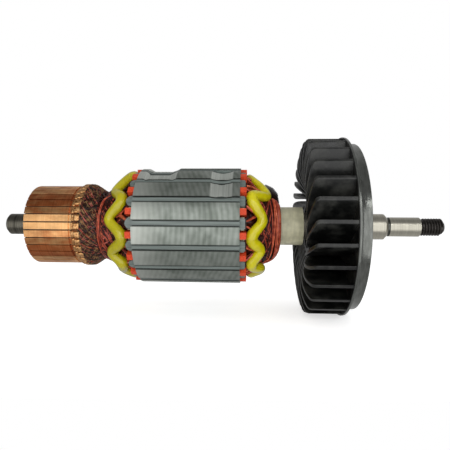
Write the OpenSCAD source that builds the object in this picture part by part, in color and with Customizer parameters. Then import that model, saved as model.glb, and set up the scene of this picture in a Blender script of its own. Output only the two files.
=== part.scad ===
// Wound armature of a large angle grinder, millimetres.
// The shaft lies along X: commutator at the rear (-X), thread at the front (+X).
// The origin is the centre of the front bearing seat.

/* [Shaft] */
// Diameter of the rear bearing seat
rear_seat_d = 10; // [8:0.5:12]
// Length of shaft that stands behind the commutator
rear_stub_len = 16.4; // [12:0.1:24]
// Length of the rear bearing seat, up to its shoulder
rear_seat_len = 11; // [8:0.5:12]
// Diameter of the shaft body inside commutator, sleeve and fan
body_d = 13; // [12.5:0.1:14]
// Diameter of the front bearing seat
front_seat_d = 12; // [10:0.5:12]
// Length of the front bearing seat
front_seat_len = 15.4; // [10:0.1:24]
// Chamfer in front of the front bearing seat
seat_chamfer = 1.3; // [0.4:0.1:1.4]
// Diameter of the relief groove behind the pinion seat
relief_d = 8.4; // [7.4:0.1:8.8]
// Width of the relief groove
relief_w = 1.1; // [0.6:0.1:3]
// Diameter of the pinion seat
pinion_seat_d = 9; // [9:0.5:9.5]
// Length of the pinion seat
pinion_seat_len = 13.9; // [8:0.1:22]
// Core diameter of the threaded end, under an M8 thread
thread_core_d = 6.7; // [6:0.1:7]
// Length of the threaded end
thread_len = 11.1; // [8:0.1:18]
// Chamfer on the two ends of the shaft
end_chamfer = 0.9; // [0.4:0.1:1.6]

/* [Core] */
// Outer diameter of the lamination stack
core_d = 54.4; // [54:0.2:58]
// Length of the lamination stack
core_len = 46; // [30:1:70]
// Distance from the front end of the core to the back face of the fan
core_to_fan = 51.3; // [46:0.1:60]
// Number of slots
slots = 16; // [16:1:16]
// Angle of the first slot from the front of view, positive downwards
slot_phase = -1.6; // [-11:0.1:11]
// Width of each slot mouth
slot_mouth = 2.6; // [2.2:0.1:3]
// Depth of the slots below the outer diameter
slot_depth = 11.6; // [9:0.1:12]
// Thickness of the tooth tips beside the slot mouth
tip_t = 1; // [0.8:0.1:1.4]
// Width of the teeth below their tips
tooth_w = 3.8; // [3.4:0.1:4.2]
// Depth of the rear balance-milling cut
balance_cut = 1.6; // [0.5:0.1:1.7]
// Length of the rear balance-milling cut
rear_cut_len = 15.5; // [10:0.5:20]
// Depth of the front balance-milling cut
front_cut = 1.2; // [0.5:0.1:1.7]
// Length of the front balance-milling cut
front_cut_len = 11; // [6:0.5:14]

/* [Insulation] */
// Outer diameter of the insulating sleeve
sleeve_d = 18; // [17:0.2:19]
// Length of sleeve that stands in front of the core
sleeve_reach = 28.9; // [24:0.1:29.5]
// Length of sleeve that stands behind the core
sleeve_tail = 20.5; // [16:0.1:22]
// Thickness of each end spider
spider_t = 2.8; // [2:0.1:3.6]
// Width of the spider fingers
finger_w = 2.8; // [2.2:0.1:3.2]
// Depth of the finger tips below the outer diameter of the core
finger_drop = 0.6; // [0.3:0.1:1]
// Thickness of the slot liners
liner_t = 0.3; // [0.2:0.05:0.5]
// Length of liner that stands out of each end of the core
liner_reach = 2; // [0.5:0.1:2]
// Thickness of the slot wedges below the tooth tips
wedge_t = 1.3; // [1:0.1:1.6]
// Width of the raised ridge of a wedge in its slot mouth
wedge_ridge_w = 1.9; // [1.4:0.1:2]
// Length of wedge that stands out of the rear end of the core
wedge_reach = 3.1; // [1:0.1:3.6]
// Length of wedge that stands out of the front end of the core
wedge_front_reach = 2.3; // [1:0.1:3.6]

/* [Commutator] */
// Diameter of the brush track
track_d = 37.2; // [36:0.2:37.6]
// Number of bars
bars = 32; // [32:1:32]
// Angle of one gap between bars from the front of view, positive downwards
bar_phase = -3.2; // [-6:0.1:6]
// Length of the bars, brush track and hooks together
bar_len = 26.1; // [24:0.1:30]
// Distance from the bars to the rear end of the core
commutator_gap = 25.2; // [24.8:0.1:27]
// Length of the hook zone at the front of the bars
hook_zone = 5.1; // [4.6:0.1:6]
// Width of the gap between two bars at the brush track
bar_gap = 0.6; // [0.4:0.05:0.8]
// Diameter over the hooks
hook_d = 39.4; // [38.4:0.2:40]
// Width of the hooks
hook_w = 2.1; // [1.6:0.1:2.4]
// Outer diameter of the brass bush
bush_d = 16.4; // [15.4:0.2:17.4]

/* [Fan] */
// Diameter of the fan plate
fan_d = 82.6; // [78:0.2:86]
// Diameter over the fan blades
blade_tip_d = 81.4; // [76:0.2:82]
// Number of blades
blades = 28; // [20:1:28]
// Thickness of the blades
blade_t = 1.4; // [1:0.1:1.5]
// Radius of the curve of each blade
blade_curve_r = 65; // [55:1:80]
// Angle of one blade tip from the front of view, positive downwards
blade_phase = -2.6; // [-6:0.1:6]
// Height of the blades at their crown, in front of the plate
blade_h = 17.9; // [14:0.1:18.5]
// Thickness of the fan plate
plate_t = 2.2; // [1.6:0.1:3]
// Height of the rim behind the front face of the plate
rim_h = 5.8; // [4:0.1:7]

/* [Winding] */
// Length of the front coil head in front of the core
front_head_len = 17; // [15:0.1:19]
// Length of the rear coil head behind the core
rear_head_len = 19; // [17:0.1:20]
// Diameter of the resin beads
bead_d = 4.4; // [3.4:0.1:4.6]

/* [Hidden] */
// Clearance between pieces that are bonded or pressed together
bond_gap = 0.03;
// Distance that a cutting shape runs past the face it cuts
past = 1;

// Stations along the shaft
fan_back_x = -front_seat_len / 2;
seat_end_x = front_seat_len / 2;
groove_x = seat_end_x + seat_chamfer;
pinion_x = groove_x + relief_w;
pinion_end_x = pinion_x + pinion_seat_len;
front_end_x = pinion_end_x + thread_len;
core_front_x = fan_back_x - core_to_fan;
core_rear_x = core_front_x - core_len;
bars_front_x = core_rear_x - commutator_gap;
bars_rear_x = bars_front_x - bar_len;
rear_end_x = bars_rear_x - rear_stub_len;
sleeve_end_x = core_front_x + sleeve_reach;

slot_pitch = 360 / slots;
bar_pitch = 360 / bars;
core_r = core_d / 2;
track_r = track_d / 2;
sleeve_r = sleeve_d / 2;
body_r = body_d / 2;
end_r = pinion_seat_d / 2;

// Slots: radius of the round bottom's lowest point, and of the place where the tooth tips start
slot_floor_r = core_r - slot_depth;
slot_wide_r = core_r - tip_t - 0.8;
finger_r = core_r - finger_drop;
wedge_top_r = slot_wide_r - bond_gap;
wedge_low_r = wedge_top_r - wedge_t;
wedge_side_gap = 0.35;
wedge_corner = 0.6;
wedge_ridge_drop = 0.3;
// Where the balance-milling cuts start, from the rear end, and centre, from the front end
rear_cut_at = 2.6;
front_cut_back = 8.1;

// Copper bars: the groove behind the brush track, and the feet that hold them in the hub
track_len = bar_len - hook_zone;
groove_w = 0.6;
groove_past = 0.2;
groove_deep = 0.5;
groove_at = track_len - groove_w + groove_past;
hook_land_r = track_r - 0.1;
shoulder_r = track_r - 3.2;
foot_r = track_r - 6;
shoulder_len = 3;
foot_flare = 1.4;
hook_r = hook_d / 2;
bar_chamfer = 0.5;
// Hooks: how far they stand behind the front of the bars, the slopes of their two ends, and their seat
hook_back_gap = 0.6;
hook_rise = 0.3;
hook_slope = 1.2;
hook_front_slope = 0.9;
hook_front_drop = 0.5;
hook_seat = 0.3;
// Ring of leads: its radii at the head and on the way to the hooks, its inner radius,
// the height of its ridges and the angle by which the leads turn
lead_start_gap = 0.1;
lead_r = [15.9, 17, 18.3];
lead_share = [0, 0.3, 0.65];
lead_inner_r = 14.2;
lead_inner_start = 0.4;
lead_hook_drop = 0.2;
lead_face_r = 1.6;
lead_ridge = 0.25;
lead_turn = 9;
hub_dish = 0.5;
fin_drop = 0.6;
bush_r = bush_d / 2;

// Fan wheel
fan_r = fan_d / 2;
blade_tip_r = blade_tip_d / 2;
plate_front_x = fan_back_x - rim_h;
flange_t = 1.2;
rim_r = fan_r - 2.9;
rim_wall = 3.6;
hub_root_r = 15;
hub_rim_r = 12.9;
hub_rim_wall = 2.5;
hub_recess = 3;
hub_front_x = plate_front_x - 14.1;
// The blades follow circles that would touch this radius, inside the hub
blade_touch_r = 9.9;
blade_root_r = 12.3;
// The front edges of the blades form a rounded crown
crown_x = plate_front_x - blade_h;
crown_r = 35;
crown_inner_r = 24;
crown_at_r = 28.5;
tip_round = 1.2;

// Coil heads: outlines as shares of the length (first) and of the height above the sleeve (second)
head_start = spider_t + 0.1;
head_base_r = slot_wide_r - 4.6;
front_outline = [
    [0, 1], [0.1, 0.9], [0.22, 0.82], [0.36, 0.75], [0.5, 0.68], [0.62, 0.6],
    [0.73, 0.51], [0.83, 0.4], [0.91, 0.28], [0.96, 0.15], [1, 0.04]
];
rear_outline = [
    [0, 1], [0.1, 0.91], [0.22, 0.84], [0.35, 0.78], [0.48, 0.72], [0.6, 0.67],
    [0.71, 0.63], [0.8, 0.59], [0.88, 0.55], [0.95, 0.5], [1, 0.44]
];
// Each coil spans seven slots and lies over the head as a rounded bundle.
// The two coils that were wound last lie highest and bulge the most.
coil_half_span = 3.5 * slot_pitch;
bundle_lift = 0.6;
bundle_half_w = 2.4;
bundle_reach = 0.62;
last_lift = 2.2;
last_half_w = 3.1;
last_reach = 0.77;
last_reach_at_slot = 0.5;
front_bundle_angle = 5;
rear_bundle_angle = 20;
rear_last_share = 0.45;
head_steps = 112;
lead_steps = 64;

// Resin beads: angle of each turning point and its share of the head's length
front_turns = [
    [-85, 0.15], [-48, 0.62], [-33, 0.15], [-7, 0.48], [15, 0.15], [31, 0.42], [50, 0.15], [74, 0.45],
    [97, 0.15], [118, 0.45], [138, 0.15], [160, 0.47], [180, 0.15], [202, 0.45], [222, 0.15], [247, 0.47]
];
rear_turns = [
    [-85, 0.14], [-49, 0.48], [-29, 0.2], [-7, 0.53], [15, 0.15], [38, 0.52], [54, 0.28], [73, 0.36],
    [96, 0.14], [118, 0.48], [140, 0.15], [163, 0.5], [186, 0.15], [208, 0.48], [230, 0.15], [254, 0.48]
];
bead_r = bead_d / 2;
bead_seat = 0.35;
bead_steps = 8;
bead_sides = 8;

function two_digits(i) = str(i < 10 ? "0" : "", i);

// Stands a shape drawn on the XY plane upright along the shaft, starting at station x
module along_x(x = 0) {
    translate([x, 0, 0]) rotate([0, 90, 0]) children();
}

// Turns an outline drawn along +X to an angle from the front of view, positive downwards
module at_angle(a) {
    rotate(a - 90) children();
}

// A slice of thickness w across the shaft's radius, from points [station, radius], at angle a
module slice(a, w, points) {
    rotate([a, 0, 0]) translate([0, 0, -w / 2]) linear_extrude(height = w)
        polygon([for (p = points) [p[0], -p[1]]]);
}

// A tube along the shaft
module tube(from_x, to_x, outer_r, inner_r) {
    along_x(from_x) difference() {
        cylinder(h = to_x - from_x, r = outer_r, $fn = 96);
        translate([0, 0, -past]) cylinder(h = to_x - from_x + 2 * past, r = inner_r, $fn = 96);
    }
}

// A point at station x, radius r and angle a from the front of view
function place(x, r, a) = [x, -r * cos(a), -r * sin(a)];

function slot_angle(i) = slot_phase + i * slot_pitch;
function bar_angle(i) = bar_phase + (i + 0.5) * bar_pitch;

// Half the width at radius r of a slot between straight teeth of width t
function slot_half(r, t = tooth_w) = (r * sin(slot_pitch / 2) - t / 2) / cos(slot_pitch / 2);

// Centre of the round bottom of a slot between teeth of width t
function bottom_at(t) = (slot_floor_r - t / 2) / (1 - sin(slot_pitch / 2));

// Round bottom of a slot drawn along +X, inset by g on every side
function bottom_arc(t, g) = [for (k = [0 : 6])
    let (a = 90 + slot_pitch / 2 + k * (180 - slot_pitch) / 6)
    let (r = bottom_at(t) - slot_floor_r - g)
    [bottom_at(t) + r * cos(a), r * sin(a)]];

// Slot outline up to radius top, inset by g on every side
function slot_outline(t, g, top) =
    let (half = slot_half(top, t) - g / cos(slot_pitch / 2))
    concat(bottom_arc(t, g), [[top, -half], [top, half]]);

function reversed(list) = [for (k = [len(list) - 1 : -1 : 0]) list[k]];

// Faces of a grid of m rings of n points that closes both ways
function ring_faces(m, n) = [for (i = [0 : m - 1], j = [0 : n - 1])
    let (p = i * n + j)
    let (q = i * n + (j + 1) % n)
    let (r = ((i + 1) % m) * n + (j + 1) % n)
    let (s = ((i + 1) % m) * n + j)
    each [[p, q, r], [p, r, s]]];

// Point [share of length, height share] at share u of an outline
function along(outline, u) =
    let (k = min(floor(u * (len(outline) - 1)), len(outline) - 2))
    let (f = u * (len(outline) - 1) - k)
    outline[k] * (1 - f) + outline[k + 1] * f;

// Real distance from the core's end (first) and radius (second) on a head's outline
function head_point(outline, length, u) =
    let (p = along(outline, u))
    [head_start + p[0] * (length - head_start),
     sleeve_r + bond_gap + p[1] * (head_base_r - sleeve_r)];

// Direction away from the head's surface there
function head_normal(outline, length, u) =
    let (d = head_point(outline, length, min(1, u + 0.1)) - head_point(outline, length, max(0, u - 0.1)))
    [-d[1], d[0]] / norm(d);

function signed_angle(a) = a - 360 * round(a / 360);

// Height of the bundles at angle a and share u of the outline, with the last coil's middle at angle first
function bundle_height(a, u, length, first, last_share) = max([for (i = [0 : slots - 1])
    let (d = signed_angle(a - first - i * slot_pitch) / coil_half_span)
    let (last = i % (slots / 2) == 0)
    let (at = last
        ? last_reach_at_slot + (last_reach - last_reach_at_slot) * sqrt(max(0, 1 - d * d))
        : bundle_reach * sqrt(max(0, 1 - d * d)))
    let (off = (u - at) * length / (last ? last_half_w : bundle_half_w))
    let (lift = last ? last_lift * last_share * sqrt(max(0, 1 - pow(d, 6))) : bundle_lift)
    abs(d) < 1 ? lift * sqrt(max(0, 1 - off * off)) : 0]);

// A coil head, standing at station x and growing towards side (1 or -1)
module coil_head(outline, length, x, side, first, last_share) {
    m = len(outline);
    n = head_steps;
    rings = concat(
        [for (i = [0 : m - 1]) [for (j = [0 : n - 1])
            let (a = j * 360 / n)
            let (u = i / (m - 1))
            let (edge = i == 0 || i == m - 1 ? 0 : 1)
            let (p = head_point(outline, length, u)
                + head_normal(outline, length, u) * edge * bundle_height(a, u, length, first, last_share))
            place(x + side * p[0], p[1], a)]],
        [[for (j = [0 : n - 1]) place(x + side * length, sleeve_r + bond_gap, j * 360 / n)],
         [for (j = [0 : n - 1]) place(x + side * head_start, sleeve_r + bond_gap, j * 360 / n)]]
    );
    faces = ring_faces(m + 2, n);
    polyhedron(
        points = [for (ring = rings) each ring],
        faces = side > 0 ? [for (f = faces) reversed(f)] : faces,
        convexity = 6
    );
}

// The flared ring of leads between the rear head and the hooks, one ridge for each bar
module lead_ring() {
    from = rear_head_len + lead_start_gap;
    to = commutator_gap - bond_gap;
    section = concat(
        [for (k = [0 : 2]) [from + (to - from) * lead_share[k], lead_r[k], 1]],
        [[to, hook_r - lead_hook_drop, 1], [to, shoulder_r + lead_face_r, 0],
         [from + lead_inner_start, lead_inner_r, 0]]
    );
    points = [for (p = section) for (j = [0 : lead_steps - 1])
        let (a = bar_angle(0) + j * 360 / lead_steps - lead_turn * (to - p[0]) / (to - from) * p[2])
        place(core_rear_x - p[0], p[1] + (j % 2 == 0 ? lead_ridge : -lead_ridge) * p[2], a)];
    polyhedron(points = points, faces = ring_faces(len(section), lead_steps), convexity = 4);
}

// One turned steel piece
module shaft() {
    color("#8f8b80") along_x() rotate_extrude($fn = 96) polygon([
        [0, rear_end_x],
        [rear_seat_d / 2 - end_chamfer, rear_end_x],
        [rear_seat_d / 2, rear_end_x + end_chamfer],
        [rear_seat_d / 2, rear_end_x + rear_seat_len],
        [body_r, rear_end_x + rear_seat_len],
        [body_r, fan_back_x],
        [front_seat_d / 2, fan_back_x],
        [front_seat_d / 2, seat_end_x],
        [front_seat_d / 2 - seat_chamfer, groove_x],
        [relief_d / 2, groove_x],
        [relief_d / 2, pinion_x],
        [end_r, pinion_x],
        [end_r, pinion_end_x],
        [thread_core_d / 2, pinion_end_x + end_r - thread_core_d / 2],
        [thread_core_d / 2, front_end_x - end_chamfer],
        [thread_core_d / 2 - end_chamfer, front_end_x],
        [0, front_end_x]
    ]);
}

// Glass-fibre tube that keeps the core apart from the shaft
module insulating_sleeve() {
    color("#b7b497") tube(core_rear_x - sleeve_tail, sleeve_end_x, sleeve_r, body_r + bond_gap);
}

// One cut across whole teeth, from the slot before them to the slot after them,
// as deep as its [distance from the core's rear end, depth] points say
module milled_cut(slot_before, slot_after, depths) {
    first = slot_angle(slot_before);
    along_x(core_rear_x) rotate([0, 0, first - 90])
        rotate_extrude(angle = slot_angle(slot_after) - first, $fn = 192)
            polygon(concat(
                [[core_r + past, depths[0][0]]],
                [for (p = depths) [core_r - p[1], p[0]]],
                [[core_r + past, depths[len(depths) - 1][0]]]
            ));
}

// Cuts that a balancing cutter left in the tooth faces: a long one at the rear, a scallop near the front
module balance_cuts() {
    milled_cut(-5, -2, [
        [-past, 0.2 * balance_cut], [rear_cut_at, 0.2 * balance_cut], [rear_cut_at + 2.3, balance_cut],
        [rear_cut_at + rear_cut_len - 4.2, balance_cut], [rear_cut_at + rear_cut_len - 2, 0.55 * balance_cut],
        [rear_cut_at + rear_cut_len, -past / 10]
    ]);
    milled_cut(-3, -1, [for (k = [0 : 8])
        let (share = k / 4 - 1)
        [core_len - front_cut_back + share * front_cut_len / 2,
         front_cut * (1 - share * share) - (abs(share) == 1 ? past / 10 : 0)]]);
}

// The slotted core
module lamination_stack() {
    color("#7f8680") difference() {
        along_x(core_rear_x) linear_extrude(height = core_len) difference() {
            circle(r = core_r, $fn = 192);
            circle(r = sleeve_r + bond_gap, $fn = 96);
            for (i = [0 : slots - 1]) at_angle(slot_angle(i)) polygon(concat(
                bottom_arc(tooth_w, 0),
                [[slot_wide_r, -slot_half(slot_wide_r)], [core_r - tip_t, -slot_mouth / 2],
                 [core_r + past, -slot_mouth / 2], [core_r + past, slot_mouth / 2],
                 [core_r - tip_t, slot_mouth / 2], [slot_wide_r, slot_half(slot_wide_r)]]
            ));
        }
        balance_cuts();
    }
}

// Fibre end plate with a finger over each tooth
module end_spider(x) {
    color("#e2502e") along_x(x) linear_extrude(height = spider_t - bond_gap) difference() {
        circle(r = finger_r, $fn = 192);
        circle(r = sleeve_r + bond_gap, $fn = 96);
        for (i = [0 : slots - 1]) at_angle(slot_angle(i))
            polygon(slot_outline(finger_w, 0, core_r + past));
    }
}

module rear_end_spider() {
    end_spider(core_rear_x - spider_t);
}

module front_end_spider() {
    end_spider(core_front_x + bond_gap);
}

// Folded papers that line the slots
module slot_liners() {
    top = wedge_low_r - bond_gap;
    color("#c9c2a4") along_x(core_rear_x - liner_reach)
        linear_extrude(height = core_len + 2 * liner_reach)
            for (i = [0 : slots - 1]) at_angle(slot_angle(i)) {
                outer = slot_outline(tooth_w, bond_gap, top);
                inner = slot_outline(tooth_w, bond_gap + liner_t, top);
                arc = len(outer) - 3;
                polygon(concat(
                    [outer[arc + 2]], [for (k = [0 : arc + 1]) outer[k]],
                    [inner[arc + 1]], [for (k = [arc : -1 : 0]) inner[k]], [inner[arc + 2]]
                ));
            }
}

// Copper winding: the coil sides in the slots, both heads and the leads to the commutator
module winding() {
    color("#6b2a24") {
        along_x(core_rear_x - spider_t) linear_extrude(height = core_len + 2 * spider_t)
            for (i = [0 : slots - 1]) at_angle(slot_angle(i))
                polygon(slot_outline(tooth_w, liner_t + 2 * bond_gap, wedge_low_r - bond_gap));
        coil_head(front_outline, front_head_len, core_front_x, 1, front_bundle_angle, 1);
        coil_head(rear_outline, rear_head_len, core_rear_x, -1, rear_bundle_angle, rear_last_share);
        lead_ring();
    }
}

// A strip that closes one slot mouth: round at the rear, square in front, with a ridge between the tooth tips
module slot_wedge(i) {
    half = slot_half(wedge_low_r) - wedge_side_gap;
    straight = core_len / 2 + wedge_reach - half;
    front = core_len / 2 + wedge_front_reach;
    mid_x = core_rear_x + core_len / 2;
    color("#7b8b90") difference() {
        rotate([slot_angle(i), 0, 0]) union() {
            translate([mid_x, -wedge_low_r, 0]) rotate([90, 0, 0]) linear_extrude(height = wedge_t)
                polygon(concat(
                    [[front - wedge_corner, -half], [front, -half + wedge_corner],
                     [front, half - wedge_corner], [front - wedge_corner, half]],
                    [for (k = [0 : 8]) [-straight + half * cos(90 + k * 22.5), half * sin(90 + k * 22.5)]]
                ));
            translate([mid_x - core_len / 2, -(core_r - wedge_ridge_drop), -wedge_ridge_w / 2])
                cube([core_len, core_r - wedge_ridge_drop - wedge_top_r + wedge_t / 4, wedge_ridge_w]);
        }
        balance_cuts();
    }
}

// Section of a commutator bar as [radius, distance from its rear face], grown by g
function bar_section(g, top) = [
    [top, -g], [top, bar_len + g],
    [shoulder_r - g, bar_len + g], [shoulder_r - g, bar_len - shoulder_len + g],
    [foot_r - g, bar_len - shoulder_len + foot_flare + g], [foot_r - g, shoulder_len - foot_flare - g],
    [shoulder_r - g, shoulder_len - g], [shoulder_r - g, -g]
];

// One copper bar with the hook that grips its lead
module commutator_bar(i) {
    wide = bar_pitch - 2 * asin(bar_gap / 2 / track_r);
    hook_back_x = bars_front_x - hook_zone + hook_back_gap;
    color("#c98a5a") {
        along_x(bars_rear_x) rotate([0, 0, bar_angle(i) - 90 - wide / 2]) rotate_extrude(angle = wide, $fn = 192)
            polygon(concat(
                [[track_r - bar_chamfer, 0], [track_r, bar_chamfer], [track_r, groove_at],
                 [track_r - groove_deep, groove_at], [track_r - groove_deep, groove_at + groove_w],
                 [hook_land_r, groove_at + groove_w], [hook_land_r, bar_len]],
                [for (k = [2 : 7]) bar_section(0, track_r)[k]]
            ));
        slice(bar_angle(i), hook_w, [
            [hook_back_x, hook_land_r - hook_seat], [hook_back_x + hook_rise, hook_r - 2 * hook_rise],
            [hook_back_x + hook_slope, hook_r], [bars_front_x - hook_front_slope, hook_r],
            [bars_front_x, hook_r - hook_front_drop], [bars_front_x, hook_land_r - hook_seat]
        ]);
    }
}

// Phenolic moulding that holds the bars, with a thin fin between each two
module commutator_hub() {
    wide = bar_pitch - 2 * asin((bar_gap / 2 - bond_gap) / track_r);
    color("#3a2f2a") along_x(bars_rear_x) difference() {
        rotate_extrude($fn = 192) polygon([
            [bush_r + bond_gap, hub_dish], [track_r - fin_drop, hub_dish],
            [track_r - fin_drop, bar_len - hub_dish], [bush_r + bond_gap, bar_len - hub_dish]
        ]);
        for (i = [0 : bars - 1]) rotate([0, 0, bar_angle(i) - 90 - wide / 2])
            rotate_extrude(angle = wide, $fn = 192) polygon(bar_section(bond_gap, track_r + past));
    }
}

module commutator_bush() {
    color("#b08d4a") tube(bars_rear_x, bars_front_x, bush_r, body_r + bond_gap);
}

// Station of the blades' front edges at radius r
function crown_at(r) =
    let (bend = r < crown_at_r ? crown_inner_r : crown_r)
    crown_x + bend - sqrt(pow(bend, 2) - pow(r - crown_at_r, 2));

// Moulded fan wheel: hub, plate with its rear rim, and curved blades
module fan() {
    away = blade_curve_r - blade_touch_r;
    lean = acos((pow(away, 2) + pow(blade_tip_r, 2) - pow(blade_curve_r, 2)) / (2 * away * blade_tip_r));
    color("#2a2c2b") along_x() union() {
        intersection() {
            translate([0, 0, crown_x - past]) linear_extrude(height = blade_h + past + plate_t / 2)
                for (i = [0 : blades - 1]) at_angle(blade_phase + i * 360 / blades) intersection() {
                    translate([away * cos(lean), -away * sin(lean)]) difference() {
                        circle(r = blade_curve_r + blade_t / 2, $fn = 360);
                        circle(r = blade_curve_r - blade_t / 2, $fn = 360);
                    }
                    polygon([for (a = [-6, 14, 34, 56]) 2 * blade_tip_r * [cos(a), sin(a)], [0, 0]]);
                }
            rotate_extrude($fn = 192) polygon(concat(
                [[blade_root_r, plate_front_x + plate_t / 2]],
                [for (k = [0 : 9])
                    let (r = blade_root_r + k * (blade_tip_r - tip_round - blade_root_r) / 9)
                    [r, crown_at(r)]],
                [[blade_tip_r - tip_round * 0.3, crown_at(blade_tip_r - tip_round) + tip_round * 0.55],
                 [blade_tip_r, crown_at(blade_tip_r - tip_round) + tip_round * 1.3],
                 [blade_tip_r, plate_front_x + plate_t / 2]]
            ));
        }
        rotate_extrude($fn = 192) polygon([
            [body_r + bond_gap, hub_front_x + hub_recess], [hub_rim_r - hub_rim_wall, hub_front_x + hub_recess],
            [hub_rim_r - hub_rim_wall, hub_front_x], [hub_rim_r, hub_front_x],
            [hub_root_r, plate_front_x], [fan_r, plate_front_x], [fan_r, plate_front_x + flange_t],
            [rim_r + 0.3, plate_front_x + flange_t + 0.5], [rim_r, plate_front_x + flange_t + 1],
            [rim_r, fan_back_x], [rim_r - rim_wall, fan_back_x],
            [rim_r - rim_wall, plate_front_x + plate_t], [hub_root_r, plate_front_x + plate_t],
            [hub_root_r, fan_back_x], [body_r + bond_gap, fan_back_x]
        ]);
    }
}

// A resin bead that zigzags round a coil head through the given turning points
module bead(outline, length, x, side, turns) {
    lift = bead_seat + bundle_lift + bead_r;
    function centre(a, share) = place(
        x + side * (head_start + share * (length - head_start)),
        sleeve_r + lookup(share, outline) * (head_base_r - sleeve_r) + lift,
        a
    );
    path = [for (k = [0 : len(turns) - 1], f = [0 : bead_steps - 1])
        let (p = turns[k])
        let (q = k == len(turns) - 1 ? [turns[0][0] + 360, turns[0][1]] : turns[k + 1])
        let (t = f / bead_steps)
        centre(p[0] + (q[0] - p[0]) * t, p[1] + (q[1] - p[1]) * (1 - cos(180 * t)) / 2)];
    count = len(path);
    points = [for (k = [0 : count - 1])
        let (way = path[(k + 1) % count] - path[(k + count - 1) % count])
        let (w = way / norm(way))
        let (out = [0, path[k][1], path[k][2]])
        let (n1 = cross(w, out) / norm(cross(w, out)))
        let (n2 = cross(n1, w))
        for (j = [0 : bead_sides - 1])
            path[k] + bead_r * (n1 * cos(j * 360 / bead_sides) + n2 * sin(j * 360 / bead_sides))];
    polyhedron(points = points, faces = ring_faces(count, bead_sides), convexity = 6);
}

module front_bead() {
    color("#bfc020") bead(front_outline, front_head_len, core_front_x, 1, front_turns);
}

module rear_bead() {
    color("#bfc020") bead(rear_outline, rear_head_len, core_rear_x, -1, rear_turns);
}

shaft();
insulating_sleeve();
lamination_stack();
rear_end_spider();
front_end_spider();
slot_liners();
winding();
commutator_hub();
commutator_bush();
fan();
rear_bead();
front_bead();
for (i = [1 : slots])
    slot_wedge(i);
for (i = [1 : bars])
    commutator_bar(i);
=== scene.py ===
# Wound armature of a large angle grinder: finishes, wires, resin, light and camera round the CAD frame.
# The shaft lies along X. Stations and radii are in millimetres, as in the CAD source, and places in metres.
# Angles go round the shaft from the camera's side (-Y), positive downwards.

import math
import random
from types import SimpleNamespace

import bmesh
import bpy
from mathutils import Matrix, Vector


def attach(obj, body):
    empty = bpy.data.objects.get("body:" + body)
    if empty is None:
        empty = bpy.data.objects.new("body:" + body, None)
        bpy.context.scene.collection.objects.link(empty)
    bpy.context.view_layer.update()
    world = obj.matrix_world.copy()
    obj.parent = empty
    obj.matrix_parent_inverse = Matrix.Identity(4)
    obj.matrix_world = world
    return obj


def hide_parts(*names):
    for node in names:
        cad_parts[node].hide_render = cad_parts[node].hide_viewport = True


MM = 0.001

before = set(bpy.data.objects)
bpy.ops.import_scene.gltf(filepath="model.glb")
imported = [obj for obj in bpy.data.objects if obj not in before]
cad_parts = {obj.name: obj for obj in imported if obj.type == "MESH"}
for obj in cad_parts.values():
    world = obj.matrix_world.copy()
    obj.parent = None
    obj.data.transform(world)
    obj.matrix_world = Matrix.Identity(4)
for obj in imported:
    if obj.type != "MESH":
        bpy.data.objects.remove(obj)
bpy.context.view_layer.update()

# Stations along the shaft, radii and angles repeated from the CAD source
REAR_END_X = -172.7
BARS_REAR_X = -156.3
BARS_FRONT_X = -130.2
CORE_REAR_X = -105.0
CORE_FRONT_X = -59.0
FAN_DISC_X = -13.5
GROOVE_X = 9.0
PINION_X = 10.1
PINION_END_X = 24.0
CORE_R = 27.2
SLEEVE_R = 9.0
FAN_RIM_R = 38.4
SLOTS = 16
SLOT_PHASE = -1.6
SLOT_PITCH = 360 / SLOTS
SLOT_HALF_MOUTH = 1.3
WEDGE_RIDGE_HALF_W = 0.95
BOND_GAP = 0.03

# Commutator: bars, brush track, the groove in front of it, and the land that the hooks lie on
BARS = 32
BAR_PHASE = -3.2
BAR_PITCH = 360 / BARS
BAR_GAP = 0.45
TRACK_R = 18.6
TRACK_LEN = 20.6
GROOVE_W = 0.6
GROOVE_DEEP = 0.5
HOOK_LAND_R = 18.5
HOOK_R = 19.7
SHOULDER_R = 15.4

# Coil heads: where they start in front of the core, how high they are there, and how long they are
HEAD_START = 2.9
HEAD_BASE_R = 20.8
FRONT_HEAD_LEN = 17.0
REAR_HEAD_LEN = 19.0
# Their outlines, as shares of the length (first) and of the height above the sleeve (second)
FRONT_OUTLINE = [
    (0, 1), (0.1, 0.9), (0.22, 0.82), (0.36, 0.75), (0.5, 0.68), (0.62, 0.6),
    (0.73, 0.51), (0.83, 0.4), (0.91, 0.28), (0.96, 0.15), (1, 0.04),
]
REAR_OUTLINE = [
    (0, 1), (0.1, 0.91), (0.22, 0.84), (0.35, 0.78), (0.48, 0.72), (0.6, 0.67),
    (0.71, 0.63), (0.8, 0.59), (0.88, 0.55), (0.95, 0.5), (1, 0.44),
]

# Bundles of the coils that arch over the heads: height, half width, and how far along the head they reach
COIL_HALF_SPAN = 3.5 * SLOT_PITCH
BUNDLE_LIFT = 0.6
BUNDLE_HALF_W = 2.4
BUNDLE_REACH = 0.62
# The same for the two coils wound last, which lie opposite each other
LAST_EVERY = SLOTS // 2
LAST_LIFT = 2.2
LAST_HALF_W = 3.1
LAST_REACH = 0.77
LAST_REACH_AT_SLOT = 0.5

# The coil drawn black at the top of the front head, dark with resin and deepened as painted shade: its height
# at some shares of the head's length, the angle of its middle, and how much it sags towards its ends
DARK_COIL_SPREAD = [(0.43, 2.3), (0.58, 2.6), (0.74, 2.3), (0.9, 1.3)]
DARK_COIL_ANGLE = -98
DARK_COIL_HALF_SPAN = 56
DARK_COIL_SAG = 3.4
# Share of a last coil's span, from its middle, where its wires come out from under the blackened one
COVERED_SHARE = -0.74

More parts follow.
